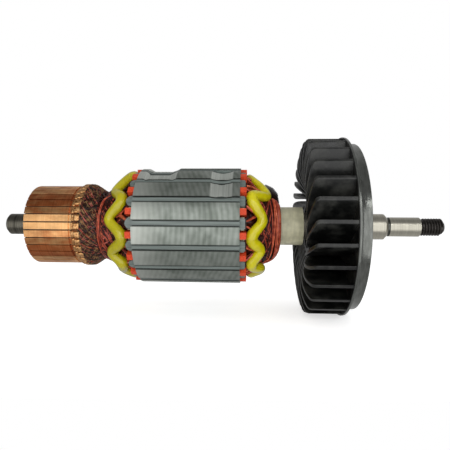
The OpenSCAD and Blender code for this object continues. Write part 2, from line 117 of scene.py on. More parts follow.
# Resin beads: radius, gap under them, and each turning point's angle and share of the head's length
BEAD_R = 2.2
BEAD_SEAT = 0.35
BEAD_LIFT = BEAD_SEAT + BUNDLE_LIFT + BEAD_R
FRONT_TURNS = [
    (-92, 0.07), (-48, 0.62), (-33, 0.15), (-7, 0.48), (15, 0.15), (31, 0.42), (50, 0.15), (74, 0.45),
    (97, 0.15), (118, 0.45), (138, 0.15), (160, 0.47), (180, 0.15), (202, 0.45), (222, 0.15), (247, 0.47),
]
REAR_TURNS = [
    (-85, 0.14), (-49, 0.48), (-29, 0.2), (-7, 0.53), (15, 0.15), (38, 0.52), (54, 0.28), (73, 0.36),
    (96, 0.14), (118, 0.48), (140, 0.15), (163, 0.5), (186, 0.15), (208, 0.48), (230, 0.15), (254, 0.48),
]
# At some turning points, how far the resin sank into the coils and how much it swelled
FRONT_POOLS = {-92: (0.0, -0.5), -48: (1.5, -0.1), 247: (0.4, 0)}
REAR_POOLS = {-85: (-0.5, 0), -49: (0.9, 0), 96: (-0.6, 0), 254: (0.3, 0)}

# The grinding wheel's bands on the core: how far apart, and how far they bow per square millimetre of height
WHEEL_STEP = 2.4
WHEEL_BOW = 0.013
# How much brown film the bars nearest the front of view carry; the others draw theirs
BAR_FILM = {27: 0.3, 28: 1.0, 29: 1.0, 30: 0.5, 31: -0.2, 0: -0.3, 1: 0.35, 2: 0.5, 3: 1.1, 4: 1.1, 5: 0.4}

# Camera: level with the shaft, turned a little towards the commutator, so that the point of the shaft that it
# faces squarely lies beside the middle of the picture; lengths in the picture are in its pixels
PHOTO_WIDTH = 450
FOCAL_PIXELS = 420
SQUARE_VIEW_PIXELS = 23.2
SHIFT_RIGHT_PIXELS = -0.5
SHIFT_UP_PIXELS = 0.9
CAMERA_AT = Vector((-55.2, -201.6, -0.16)) * MM
CAMERA_TURN = math.atan(SQUARE_VIEW_PIXELS / FOCAL_PIXELS)
CAMERA_ROLL = math.radians(0.47)


def new_object(name, data):
    made = bpy.data.objects.new(name, data)
    bpy.context.scene.collection.objects.link(made)
    return made


def make_camera():
    data = bpy.data.cameras.new("camera")
    data.sensor_width = 36
    data.lens = data.sensor_width * FOCAL_PIXELS / PHOTO_WIDTH
    data.shift_x = SHIFT_RIGHT_PIXELS / PHOTO_WIDTH
    data.shift_y = SHIFT_UP_PIXELS / PHOTO_WIDTH
    camera = new_object("camera", data)
    right = Vector((math.cos(CAMERA_TURN), math.sin(CAMERA_TURN), 0))
    ahead = Vector((-math.sin(CAMERA_TURN), math.cos(CAMERA_TURN), 0))
    up = Vector((0, 0, 1))
    level = math.cos(CAMERA_ROLL)
    tip = math.sin(CAMERA_ROLL)
    rolled_right = right * level + up * tip
    rolled_up = up * level - right * tip
    turn = Matrix((rolled_right, rolled_up, -ahead)).transposed()
    camera.matrix_world = Matrix.Translation(CAMERA_AT) @ turn.to_4x4()
    bpy.context.scene.camera = camera


make_camera()


# Colour and node helpers
def linear(code):
    """An sRGB hex colour as linear red, green, blue and alpha."""
    parts = [int(code[i:i + 2], 16) / 255 for i in (1, 3, 5)]
    return (*[c / 12.92 if c <= 0.04045 else ((c + 0.055) / 1.055) ** 2.4 for c in parts], 1)


def add(tree, kind, inputs=None, stops=(), **settings):
    """Adds a node with its settings and links.

    An input is a value, a node or an output. The stops are the places and colours of a ramp.
    """
    made = tree.nodes.new("ShaderNode" + kind)
    for key, value in settings.items():
        setattr(made, key, value)
    for key, value in (inputs or {}).items():
        if isinstance(value, bpy.types.Node):
            value = value.outputs[0]
        if isinstance(value, bpy.types.NodeSocket):
            tree.links.new(value, made.inputs[key])
        else:
            made.inputs[key].default_value = value
    for k, (at, code) in enumerate(stops):
        elements = made.color_ramp.elements
        element = elements[k] if k < len(elements) else elements.new(at)
        element.position = at
        element.color = linear(code)
    return made


# Sockets of a colour mix, which have no names of their own: its two colours and its result
MIX_A = 6
MIX_B = 7
MIX_OUT = 2
# Scales that draw a pattern out into rings round the shaft
RINGS = (1, 0.02, 0.02)


def begin(name):
    """An empty material; returns it with its tree and its Object coordinates."""
    made = bpy.data.materials.new(name)
    made.use_nodes = True
    tree = made.node_tree
    tree.nodes.clear()
    return made, tree, add(tree, "TexCoord").outputs["Object"]


def grain(size):
    """The scale of a pattern whose grain is size millimetres."""
    return 1 / (size * MM)


def off_station(tree, station, x):
    """How far a point lies from station x along the shaft."""
    shifted = add(tree, "Math", {0: station, 1: x * MM}, operation="SUBTRACT")
    return add(tree, "Math", {0: shifted}, operation="ABSOLUTE")


def off_axis(tree, where):
    """How far a point lies from the shaft's axis."""
    across = add(tree, "VectorMath", {0: where, 1: (0, 1, 1)}, operation="MULTIPLY")
    return add(tree, "VectorMath", {0: across}, operation="LENGTH").outputs["Value"]


def turn_of(tree, vector):
    """The angle of a point or a direction round the shaft, from the camera's side."""
    parts = add(tree, "SeparateXYZ", {"Vector": vector})
    front = add(tree, "Math", {0: parts.outputs["Y"], 1: -1.0}, operation="MULTIPLY")
    down = add(tree, "Math", {0: parts.outputs["Z"], 1: -1.0}, operation="MULTIPLY")
    return add(tree, "Math", {0: down, 1: front}, operation="ARCTAN2")


def off_slot(tree, where):
    """How far a point of the core lies from the middle of the nearest slot, round the core's surface."""
    pitch = math.radians(SLOT_PITCH)
    to_slot = pitch / 2 - math.radians(SLOT_PHASE)
    shifted = add(tree, "Math", {0: turn_of(tree, where), 1: to_slot}, operation="ADD")
    within = add(tree, "Math", {0: shifted, 1: pitch}, operation="FLOORED_MODULO")
    centred = add(tree, "Math", {0: within, 1: pitch / 2}, operation="SUBTRACT")
    off = add(tree, "Math", {0: centred}, operation="ABSOLUTE")
    return add(tree, "Math", {0: off, 1: CORE_R * MM}, operation="MULTIPLY")


# Finishes
def turned_steel():
    # Turned and ground steel, S45C: satin warm grey with fine rings; the rear end is stained dark, with one
    # darker ring, the relief groove is darkened as painted shade, and the threaded end keeps its black oxide
    made, tree, where = begin("turned_steel")
    stain_end_x = BARS_REAR_X + 0.3
    dark_ring_x = REAR_END_X + 4.5
    groove_mid_x = (GROOVE_X + PINION_X) / 2
    oxide_x = PINION_END_X + 0.2
    station = add(tree, "SeparateXYZ", {"Vector": where}).outputs["X"]
    ringed = add(tree, "Mapping", {"Vector": where, "Scale": RINGS})
    rings = add(tree, "TexNoise", {"Vector": ringed, "Scale": grain(0.4), "Detail": 4, "Roughness": 0.65})
    patches = add(tree, "TexNoise", {"Vector": where, "Scale": grain(3.5)})
    bright = add(tree, "ValToRGB", {0: rings}, [(0.3, "#b3afa2"), (0.7, "#d2cebf")])
    stained = add(tree, "ValToRGB", {0: rings}, [(0.3, "#55524a"), (0.7, "#8a867a")])
    oxide = add(tree, "ValToRGB", {0: patches}, [(0.3, "#3b3836"), (0.7, "#555250")])
    rear = add(tree, "MapRange", {
        "Value": station, "From Min": (stain_end_x - 1) * MM, "From Max": stain_end_x * MM,
        "To Min": 1.0, "To Max": 0.0,
    })
    thread = add(tree, "MapRange", {
        "Value": station, "From Min": oxide_x * MM, "From Max": (oxide_x + 0.3) * MM,
    })
    ring = add(tree, "MapRange", {
        "Value": off_station(tree, station, dark_ring_x), "From Min": 0.45 * MM, "From Max": 0.75 * MM,
        "To Min": 0.45, "To Max": 0.0,
    })
    # painted shade: the relief groove is darkened towards a dark grey
    groove = add(tree, "MapRange", {
        "Value": off_station(tree, station, groove_mid_x), "From Min": 0.5 * MM, "From Max": 0.7 * MM,
        "To Min": 0.85, "To Max": 0.0,
    })
    groove_painted_shade = add(tree, "Mix", {0: groove, MIX_A: bright, MIX_B: linear("#363b3b")}, data_type="RGBA")
    dulled = add(tree, "Mix", {0: rear, MIX_A: groove_painted_shade.outputs[MIX_OUT], MIX_B: stained}, data_type="RGBA")
    marked = add(tree, "Mix", {
        0: ring, MIX_A: dulled.outputs[MIX_OUT], MIX_B: linear("#2a2822"),
    }, data_type="RGBA")
    tone = add(tree, "Mix", {0: thread, MIX_A: marked.outputs[MIX_OUT], MIX_B: oxide}, data_type="RGBA")
    shine = add(tree, "MapRange", {
        "Value": patches, "From Min": 0.3, "From Max": 0.7, "To Min": 0.31, "To Max": 0.38,
    })
    relief = add(tree, "Bump", {"Distance": 0.01 * MM, "Height": rings})
    shader = add(tree, "BsdfPrincipled", {
        "Base Color": tone.outputs[MIX_OUT], "Metallic": 1.0, "Roughness": shine, "Normal": relief,
    })
    add(tree, "OutputMaterial", {"Surface": shader})
    return made


def blackened_steel():
    # Rolled thread left with its black oxide: nearly black, a little greasy
    made, tree, where = begin("black_oxide_steel")
    spots = add(tree, "TexNoise", {"Vector": where, "Scale": grain(0.6)})
    tone = add(tree, "ValToRGB", {0: spots}, [(0.3, "#4a4643"), (0.75, "#6a6663")])
    relief = add(tree, "Bump", {"Distance": 0.03 * MM, "Height": spots})
    shader = add(tree, "BsdfPrincipled", {
        "Base Color": tone, "Metallic": 1.0, "Roughness": 0.45, "Normal": relief,
    })
    add(tree, "OutputMaterial", {"Surface": shader})
    return made


def core_steel():
    # Ground lamination stack under a thin film of resin: grey-green satin steel, whose sheet edges show as
    # fine rings (drawn about as coarse as the render needs), with bowed bands where the wheel travelled,
    # paler metal in the balance cuts, a painted highlight at the rear, and painted shade along the slot edges
    made, tree, where = begin("ground_laminations")
    highlight_start_x = CORE_REAR_X + 2
    highlight_end_x = CORE_REAR_X + 15
    per_wave = 2 * math.pi / (WHEEL_STEP * MM)
    parts = add(tree, "SeparateXYZ", {"Vector": where})
    station = parts.outputs["X"]
    height = parts.outputs["Z"]
    warp = add(tree, "TexNoise", {"Vector": where, "Scale": grain(9)})
    squared = add(tree, "Math", {0: height, 1: height}, operation="MULTIPLY")
    bowed = add(tree, "Math", {0: squared, 1: WHEEL_BOW / MM, 2: station}, operation="MULTIPLY_ADD")
    shifted = add(tree, "Math", {0: warp, 1: 1.2 * MM, 2: bowed}, operation="MULTIPLY_ADD")
    turned = add(tree, "Math", {0: shifted, 1: per_wave}, operation="MULTIPLY")
    wave = add(tree, "Math", {0: turned}, operation="SINE")
    stacked = add(tree, "Mapping", {"Vector": where, "Scale": (1, 0.015, 0.015)})
    sheets = add(tree, "TexNoise", {"Vector": stacked, "Scale": grain(0.5), "Detail": 2, "Roughness": 0.7})
    patches = add(tree, "TexNoise", {"Vector": where, "Scale": grain(6)})
    banded = add(tree, "Math", {0: wave, 1: 0.09, 2: patches}, operation="MULTIPLY_ADD")
    lined = add(tree, "Math", {0: sheets, 1: 0.3, 2: banded}, operation="MULTIPLY_ADD")
    plain = add(tree, "ValToRGB", {0: lined}, [(0.4, "#70776f"), (0.9, "#999f98")])
    # painted highlight: paler towards the rear end of the core, fading out forwards
    worn = add(tree, "MapRange", {
        "Value": station, "From Min": highlight_start_x * MM, "From Max": highlight_end_x * MM,
        "To Min": 0.5, "To Max": 0.0,
    })
    bright = add(tree, "Mix", {0: worn, MIX_A: plain, MIX_B: linear("#d9dcd4")}, data_type="RGBA")
    cut = add(tree, "MapRange", {
        "Value": off_axis(tree, where), "From Min": (CORE_R - 0.3) * MM, "From Max": (CORE_R - 0.12) * MM,
        "To Min": 0.9, "To Max": 0.0,
    })
    milled = add(tree, "ValToRGB", {0: sheets}, [(0.3, "#b9beb7"), (0.7, "#d6dad3")])
    opened = add(tree, "Mix", {0: cut, MIX_A: bright.outputs[MIX_OUT], MIX_B: milled}, data_type="RGBA")
    # painted shade along the slot edges
    painted_slot_shade = add(tree, "MapRange", {
        "Value": off_slot(tree, where), "From Min": (SLOT_HALF_MOUTH + 0.15) * MM,
        "From Max": (SLOT_HALF_MOUTH + 0.45) * MM, "To Min": 0.75, "To Max": 0.0,
    })
    tone = add(tree, "Mix", {
        0: painted_slot_shade, MIX_A: opened.outputs[MIX_OUT], MIX_B: linear("#2b302c"),
    }, data_type="RGBA")
    shine = add(tree, "MapRange", {
        "Value": lined, "From Min": 0.4, "From Max": 0.9, "To Min": 0.46, "To Max": 0.4,
    })
    relief = add(tree, "Bump", {"Distance": 0.01 * MM, "Height": sheets})
    shader = add(tree, "BsdfPrincipled", {
        "Base Color": tone.outputs[MIX_OUT], "Metallic": 0.78, "Roughness": shine, "Normal": relief,
    })
    add(tree, "OutputMaterial", {"Surface": shader})
    return made


def wedge_resin():
    # Pultruded glass slot wedge under grey trickle resin: the same grey as the core, slightly waxy,
    # with painted shade along its edges beside the slot mouths
    made, tree, where = begin("resin_coated_wedge")
    core_mid_x = (CORE_REAR_X + CORE_FRONT_X) / 2
    core_half_len = (CORE_FRONT_X - CORE_REAR_X) / 2
    station = add(tree, "SeparateXYZ", {"Vector": where}).outputs["X"]
    pulled = add(tree, "Mapping", {"Vector": where, "Scale": (0.05, 1, 1)})
    lines = add(tree, "TexNoise", {"Vector": pulled, "Scale": grain(0.8)})
    inside = add(tree, "MapRange", {
        "Value": off_station(tree, station, core_mid_x), "From Min": (core_half_len - 0.4) * MM,
        "From Max": core_half_len * MM, "To Min": 1.0, "To Max": 0.0,
    })
    # painted shade along the wedge's edges, inside the core's length
    side = add(tree, "MapRange", {
        "Value": off_slot(tree, where), "From Min": (WEDGE_RIDGE_HALF_W - 0.25) * MM,
        "From Max": WEDGE_RIDGE_HALF_W * MM, "To Max": 0.75,
    })
    shade = add(tree, "Math", {0: inside, 1: side}, operation="MULTIPLY")
    plain = add(tree, "ValToRGB", {0: lines}, [(0.3, "#59625e"), (0.7, "#737d79")])
    tone = add(tree, "Mix", {0: shade, MIX_A: plain, MIX_B: linear("#2b302c")}, data_type="RGBA")
    relief = add(tree, "Bump", {"Distance": 0.05 * MM, "Height": lines})
    shader = add(tree, "BsdfPrincipled", {
        "Base Color": tone.outputs[MIX_OUT], "Roughness": 0.38, "IOR": 1.5, "Normal": relief,
    })
    add(tree, "OutputMaterial", {"Surface": shader})
    return made


def vulcanised_fibre():
    # Vulcanised fibre, punched from sheet: orange-red, matt, with a fine felted grain
    made, tree, where = begin("orange_fibre")
    felt = add(tree, "TexNoise", {"Vector": where, "Scale": grain(0.6), "Detail": 4})
    tone = add(tree, "ValToRGB", {0: felt}, [(0.25, "#b43519"), (0.7, "#d84c28")])
    relief = add(tree, "Bump", {"Distance": 0.04 * MM, "Height": felt})
    shader = add(tree, "BsdfPrincipled", {
        "Base Color": tone, "Roughness": 0.5, "IOR": 1.5, "Specular IOR Level": 0.25, "Normal": relief,
    })
    add(tree, "OutputMaterial", {"Surface": shader})
    return made


def liner_paper():
    # Aramid paper: cream and fibrous
    made, tree, where = begin("aramid_paper")
    drawn = add(tree, "Mapping", {"Vector": where, "Scale": (0.25, 1, 1)})
    fibres = add(tree, "TexNoise", {"Vector": drawn, "Scale": grain(0.4)})
    tone = add(tree, "ValToRGB", {0: fibres}, [(0.3, "#a89f80"), (0.7, "#d2cab0")])
    shader = add(tree, "BsdfPrincipled", {"Base Color": tone, "Roughness": 0.7})
    add(tree, "OutputMaterial", {"Surface": shader})
    return made


def enamel(name, low, high, coat):
    # Enamelled copper wire: glossy red-brown lacquer, darker where trickle resin has soaked in
    made, tree, where = begin(name)
    soaked = add(tree, "TexNoise", {"Vector": where, "Scale": grain(2.2)})
    tone = add(tree, "ValToRGB", {0: soaked}, [(0.32, low), (0.68, high)])
    shader = add(tree, "BsdfPrincipled", {
        "Base Color": tone, "Roughness": 0.35, "IOR": 1.5, "Specular IOR Level": 0.15,
        "Coat Weight": coat, "Coat Roughness": 0.1,
    })
    add(tree, "OutputMaterial", {"Surface": shader})
    return made


def resin_bead(name, low, high):
    # Two-part resin laid by hand: acid yellow, thick, glossy and a little translucent
    made, tree, where = begin(name)
    clouds = add(tree, "TexNoise", {"Vector": where, "Scale": grain(5)})
    tone = add(tree, "ValToRGB", {0: clouds}, [(0.3, low), (0.7, high)])
    waves = add(tree, "TexNoise", {"Vector": where, "Scale": grain(2.6), "Detail": 3})
    skin = add(tree, "Bump", {"Distance": 0.35 * MM, "Height": waves})
    shader = add(tree, "BsdfPrincipled", {
        "Base Color": tone, "Roughness": 0.28, "IOR": 1.52, "Specular IOR Level": 0.15,
        "Coat Weight": 1.0, "Coat Roughness": 0.06, "Coat Normal": skin, "Subsurface Weight": 0.3,
        "Subsurface Radius": (1.2, 1.0, 0.3), "Subsurface Scale": 1.5 * MM,
    })
    add(tree, "OutputMaterial", {"Surface": shader})
    return made


def bar_copper():
    # Hard-drawn copper turned true: gold and salmon with fine rings; the film attribute says how much of the
    # brown film left by the brushes a bar carries, and smudges and stains break it up
    made, tree, where = begin("turned_copper")
    ringed = add(tree, "Mapping", {"Vector": where, "Scale": RINGS})
    rings = add(tree, "TexNoise", {"Vector": ringed, "Scale": grain(0.5), "Detail": 4, "Roughness": 0.6})
    drawn = add(tree, "Mapping", {"Vector": where, "Scale": (0.4, 1, 1)})
    smudge = add(tree, "TexNoise", {"Vector": drawn, "Scale": grain(2.4), "Detail": 4})
    stains = add(tree, "TexNoise", {"Vector": drawn, "Scale": grain(4.5), "Detail": 5, "Roughness": 0.6})
    film = add(tree, "Attribute", attribute_name="film")
    clean = add(tree, "ValToRGB", {0: rings}, [(0.3, "#e2a86e"), (0.7, "#f6c388")])
    brown = add(tree, "ValToRGB", {0: rings}, [(0.3, "#b46237"), (0.7, "#d6824e")])
    edge = add(tree, "MapRange", {
        "Value": smudge, "From Min": 0.35, "From Max": 0.65, "To Min": -0.35, "To Max": 0.35,
    })
    worn = add(tree, "Math", {0: film.outputs["Fac"], 1: edge}, operation="ADD", use_clamp=True)
    mixed = add(tree, "Mix", {0: worn, MIX_A: clean, MIX_B: brown}, data_type="RGBA")
    depth = add(tree, "MapRange", {
        "Value": stains, "From Min": 0.32, "From Max": 0.62, "To Min": 0.72, "To Max": 1.12,
    })
    tone = add(tree, "VectorMath", {0: mixed.outputs[MIX_OUT], "Scale": depth}, operation="SCALE")
    shine = add(tree, "MapRange", {"Value": worn, "To Min": 0.3, "To Max": 0.4})
    relief = add(tree, "Bump", {"Distance": 0.008 * MM, "Height": rings})
    shader = add(tree, "BsdfPrincipled", {
        "Base Color": tone, "Metallic": 1.0, "Roughness": shine, "Normal": relief,
    })
    add(tree, "OutputMaterial", {"Surface": shader})
    return made


def hook_copper():
    # Bare copper tongues, hot staked: gold where the electrode struck, brown and sooty in the dents
    made, tree, where = begin("staked_copper")
    soot = add(tree, "TexNoise", {"Vector": where, "Scale": grain(0.9), "Detail": 4, "Roughness": 0.6})
    tones = [(0.34, "#8a5630"), (0.62, "#f6c48a"), (0.46, "#d9a068")]
    tone = add(tree, "ValToRGB", {0: soot}, tones)
    relief = add(tree, "Bump", {"Distance": 0.06 * MM, "Height": soot})
    shader = add(tree, "BsdfPrincipled", {
        "Base Color": tone, "Metallic": 1.0, "Roughness": 0.4, "Normal": relief,
    })
    add(tree, "OutputMaterial", {"Surface": shader})
    return made


def phenolic():
    # Glass-filled phenolic moulding: brown-black and dull
    made, tree, where = begin("phenolic_moulding")
    filler = add(tree, "TexNoise", {"Vector": where, "Scale": grain(0.5)})
    tone = add(tree, "ValToRGB", {0: filler}, [(0.3, "#1c130e"), (0.7, "#33251e")])
    relief = add(tree, "Bump", {"Distance": 0.03 * MM, "Height": filler})
    shader = add(tree, "BsdfPrincipled", {
        "Base Color": tone, "Roughness": 0.55, "IOR": 1.55, "Normal": relief,
    })
    add(tree, "OutputMaterial", {"Surface": shader})
    return made


def bush_brass():
    # Turned brass bush: pale gold with fine rings
    made, tree, where = begin("turned_brass")
    ringed = add(tree, "Mapping", {"Vector": where, "Scale": RINGS})
    rings = add(tree, "TexNoise", {"Vector": ringed, "Scale": grain(0.3)})
    tone = add(tree, "ValToRGB", {0: rings}, [(0.3, "#a9853e"), (0.7, "#d0b068")])
    shader = add(tree, "BsdfPrincipled", {"Base Color": tone, "Metallic": 1.0, "Roughness": 0.3})
    add(tree, "OutputMaterial", {"Surface": shader})
    return made


def glass_fibre():
    # Wound glass-fibre tube in clear resin: pale grey-cream, the winding just visible as rings and clouds
    made, tree, where = begin("glass_fibre_tube")
    wound = add(tree, "Mapping", {"Vector": where, "Scale": (1, 0.15, 0.15)})
    rovings = add(tree, "TexNoise", {"Vector": wound, "Scale": grain(1.2), "Detail": 3})
    clouds = add(tree, "TexNoise", {"Vector": where, "Scale": grain(3.5)})
    mark = add(tree, "Math", {0: rovings, 1: 0.5, 2: clouds}, operation="MULTIPLY_ADD")
    tone = add(tree, "ValToRGB", {0: mark}, [(0.55, "#b6b394"), (0.95, "#d6d2b2")])
    relief = add(tree, "Bump", {"Distance": 0.03 * MM, "Height": rovings})
    shader = add(tree, "BsdfPrincipled", {
        "Base Color": tone, "Roughness": 0.42, "IOR": 1.52, "Normal": relief,
    })
    add(tree, "OutputMaterial", {"Surface": shader})
    return made


def fan_nylon():
    # Glass-filled nylon, moulded: charcoal and satin, with a little dust about; the rim was trimmed and
    # handled until the glass in it shines like graphite
    made, tree, where = begin("glass_filled_nylon")
    station = add(tree, "SeparateXYZ", {"Vector": where}).outputs["X"]
    fibres = add(tree, "TexNoise", {"Vector": where, "Scale": grain(0.6), "Detail": 4})
    dust = add(tree, "TexNoise", {"Vector": where, "Scale": grain(6), "Detail": 5, "Roughness": 0.6})
    plain = add(tree, "ValToRGB", {0: fibres}, [(0.3, "#0d0e0d"), (0.7, "#1a1b1a")])
    dusty = add(tree, "MapRange", {"Value": dust, "From Min": 0.45, "From Max": 0.8, "To Max": 0.3})
    greyed = add(tree, "Mix", {0: dusty, MIX_A: plain, MIX_B: linear("#6d6d66")}, data_type="RGBA")
    outer = add(tree, "MapRange", {
        "Value": off_axis(tree, where),
        "From Min": (FAN_RIM_R - 0.6) * MM, "From Max": (FAN_RIM_R - 0.2) * MM,
    })
    ahead = add(tree, "MapRange", {
        "Value": station, "From Min": (FAN_DISC_X + 0.1) * MM, "From Max": (FAN_DISC_X + 0.6) * MM,
    })
    rim = add(tree, "Math", {0: outer, 1: ahead}, operation="MULTIPLY")
    sheen = add(tree, "Math", {0: rim, 1: 0.9}, operation="MULTIPLY")
    scuffed = add(tree, "Mapping", {"Vector": where, "Scale": (1, 0.2, 0.2)})
    scuffs = add(tree, "TexNoise", {"Vector": scuffed, "Scale": grain(0.8), "Detail": 3})
    rubbed = add(tree, "ValToRGB", {0: scuffs}, [(0.3, "#666864"), (0.7, "#80827e")])
    tone = add(tree, "Mix", {0: rim, MIX_A: greyed.outputs[MIX_OUT], MIX_B: rubbed}, data_type="RGBA")
    satin = add(tree, "MapRange", {
        "Value": dust, "From Min": 0.4, "From Max": 0.7, "To Min": 0.34, "To Max": 0.5,
    })
    shine = add(tree, "Math", {0: rim, 1: -0.2, 2: satin}, operation="MULTIPLY_ADD")
    relief = add(tree, "Bump", {"Distance": 0.03 * MM, "Height": fibres})
    shader = add(tree, "BsdfPrincipled", {
        "Base Color": tone.outputs[MIX_OUT], "Metallic": sheen, "Roughness": shine, "IOR": 1.53,
        "Normal": relief,
    })
    add(tree, "OutputMaterial", {"Surface": shader})
    return made


BLACK_STEEL = blackened_steel()
# near-black wire for the top coil: dark resin and painted shade
WIRE_BLACK = enamel("enamel_black", "#0c0302", "#241008", 0.4)
WIRE_LEAD = enamel("lacquered_lead", "#120703", "#442518", 0.2)
# pale strands standing for painted glints on the dark lead mesh
WIRE_PAINTED_GLINT = enamel("painted_glint_enamel", "#483420", "#927048", 0.3)
# The enamels of the coils, and the number of each: copies of one red-brown enamel, where the dark one is
# partly resin-soaked wire and partly painted shade, and the orange and pink ones partly painted highlights
COIL_ENAMELS = [
    enamel("enamel_dark", "#1c0806", "#481810", 0.3),
    enamel("enamel_red", "#7a2214", "#c0563c", 0.5),
    enamel("enamel_orange", "#96351c", "#dc7450", 0.5),
    enamel("enamel_pink", "#8a3a34", "#c0685c", 0.15),
]
DARK, RED, ORANGE, PINK = range(4)
FRONT_RESIN = resin_bead("front_resin", "#bdb208", "#d2c916")
# the rear bead: the same resin drawn darker, as painted shade
SHADED_REAR_RESIN = resin_bead("rear_resin", "#a89f08", "#beb516")
COPPER = bar_copper()
HOOK_COPPER = hook_copper()
NYLON = fan_nylon()
FIBRE = vulcanised_fibre()
FINISHES = {
    "shaft": turned_steel(), "insulating_sleeve": glass_fibre(), "lamination_stack": core_steel(),
    "rear_end_spider": FIBRE, "front_end_spider": FIBRE, "slot_liners": liner_paper(),
    "slot_wedge": wedge_resin(), "winding": COIL_ENAMELS[DARK], "front_bead": FRONT_RESIN,
    "rear_bead": SHADED_REAR_RESIN, "commutator_bar": COPPER, "commutator_hub": phenolic(),
    "commutator_bush": bush_brass(), "fan": NYLON,
}


def finish_nodes():
    for name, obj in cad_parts.items():
        key = name if name in FINISHES else name.rsplit("_", 1)[0]
        for slot in obj.material_slots:
            slot.material = FINISHES[key]


finish_nodes()


# Shapes
def place(x, r, a):
    """A point at station x, radius r and angle a, in metres."""
    turn = math.radians(a)
    return Vector((x, -r * math.cos(turn), -r * math.sin(turn))) * MM


def along(outline, u):
    """Point (share of length, height share) at share u of an outline."""
    u = min(max(u, 0), 1)
    k = min(int(u * (len(outline) - 1)), len(outline) - 2)
    f = u * (len(outline) - 1) - k
    return [p * (1 - f) + q * f for p, q in zip(outline[k], outline[k + 1])]


def lookup(pairs, x):
    """The value at x of a list of (x, value) pairs, as in the CAD source."""
    for (x0, y0), (x1, y1) in zip(pairs, pairs[1:]):
        if x <= x1:
            return y0 + (y1 - y0) * max(0, (x - x0) / (x1 - x0))
    return pairs[-1][1]


def signed_angle(a):
    return a - 360 * round(a / 360)


# A coil head stands on the core at station x and grows towards side. The middle of its last coil is at angle
# first, and last_share says how much of LAST_LIFT the last coils rise.
FRONT_HEAD = SimpleNamespace(
    outline=FRONT_OUTLINE, length=FRONT_HEAD_LEN, x=CORE_FRONT_X, side=1, first=5, last_share=1,
)
REAR_HEAD = SimpleNamespace(
    outline=REAR_OUTLINE, length=REAR_HEAD_LEN, x=CORE_REAR_X, side=-1, first=20, last_share=0.45,
)


def head_point(head, u):
    """Distance from the core's end and radius at share u of a coil head's outline."""
    share, height = along(head.outline, u)
    distance = HEAD_START + share * (head.length - HEAD_START)
    return distance, SLEEVE_R + BOND_GAP + height * (HEAD_BASE_R - SLEEVE_R)


def head_normal(head, u):
    """The direction away from the head's surface there."""
    reach = 0.1
    far = head_point(head, min(1, u + reach))
    near = head_point(head, max(0, u - reach))
    run = (far[0] - near[0], far[1] - near[1])
    size = math.hypot(*run)
    return -run[1] / size, run[0] / size


def bundle_height(head, a, u, over_last):
    """Height of the wound bundles over a head, as in the CAD source, with or without the last two."""
    high = 0
    for i in range(SLOTS):
        last = i % LAST_EVERY == 0
        d = signed_angle(a - head.first - i * SLOT_PITCH) / COIL_HALF_SPAN
        if abs(d) >= 1 or (last and not over_last):
            continue
        arch = math.sqrt(1 - d * d)
        if last:
            at = LAST_REACH_AT_SLOT + (LAST_REACH - LAST_REACH_AT_SLOT) * arch
            off = (u - at) * head.length / LAST_HALF_W
            lift = LAST_LIFT * head.last_share * math.sqrt(1 - d ** 6)
        else:
            at = BUNDLE_REACH * arch
            off = (u - at) * head.length / BUNDLE_HALF_W
            lift = BUNDLE_LIFT
        high = max(high, lift * math.sqrt(max(0, 1 - off * off)))
    return high


def on_head(head, a, u, lift, over_last=True):
    """A point on a coil head, lift millimetres above its surface."""
    distance, radius = head_point(head, u)
    normal = head_normal(head, u)
    high = bundle_height(head, a, u, over_last) + lift
    return place(head.x + head.side * (distance + normal[0] * high), radius + normal[1] * high, a)


def rear_head_radius(x, a):
    """Radius of the rear coil head with its bundles at station x and angle a, or 0 beyond its end."""
    u = (REAR_HEAD.x - x - HEAD_START) / (REAR_HEAD.length - HEAD_START)
    if u > 1:
        return 0
    return head_point(REAR_HEAD, u)[1] + bundle_height(REAR_HEAD, a, u, True)


def wires(name, runs, radius, materials, resolution=1):
    """One curve piece of round wires; a run is (points, number of its material, closed, radius factors)."""
    data = bpy.data.curves.new(name, "CURVE")
    data.dimensions = "3D"
    data.bevel_depth = radius * MM
    data.bevel_resolution = resolution
    data.use_fill_caps = True
    for made in materials:
        data.materials.append(made)
    for points, number, closed, factors in runs:
        spline = data.splines.new("POLY")
        spline.points.add(len(points) - 1)
        for k, point in enumerate(points):
            spline.points[k].co = (*point, 1)
            spline.points[k].radius = factors[k] if factors else 1
        spline.use_cyclic_u = closed
        spline.use_smooth = True
        spline.material_index = number
    return new_object(name, data)


def settle(piece, finish_slot, *replaced):
    """Puts a finished piece on the armature, in place of the CAD nodes named last."""
    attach(piece, "root")
    if replaced:
        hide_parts(*replaced)


def resin_zigzag(name, head, turns, pools, material, node):
    """The hand-laid bead through its turning points; it swells where it folds back beside the core.

    pools gives how far it sinks and how much it swells at some of them.
    """
    rnd = random.Random(name)
    steps = 22
    fold_share = 0.3
    fold_swell = 0.18
    ripple = 0.03
    ripple_shift = 2.7
    ripple_rate = 7
    swells = []
    sinks = []
    for a, share in turns:
        sink, pool_swell = pools.get(a, (0, 0))
        swells.append(rnd.uniform(1.0, 1.12) + (fold_swell if share < fold_share else 0) + pool_swell)
        sinks.append(sink)
    points = []
    factors = []
    for k, (a, share) in enumerate(turns):
        following = (k + 1) % len(turns)
        b, next_share = turns[following]
        b += 360 if following == 0 else 0
        for f in range(steps):
            t = f / steps
            ease = (1 - math.cos(math.pi * t)) / 2
            u = share + (next_share - share) * ease
            sink = sinks[k] * (1 - ease) + sinks[following] * ease
            swell = swells[k] * (1 - ease) + swells[following] * ease
            station = head.x + head.side * (HEAD_START + u * (head.length - HEAD_START))
            radius = SLEEVE_R + lookup(head.outline, u) * (HEAD_BASE_R - SLEEVE_R) + BEAD_LIFT - sink
            points.append(place(station, radius, a + (b - a) * t))
            factors.append(swell * (1 + ripple * math.sin(ripple_shift * k + ripple_rate * t)))
    piece = wires(name, [(points, 0, True, factors)], BEAD_R, [material], resolution=6)
    settle(piece, "resin_bead", node)


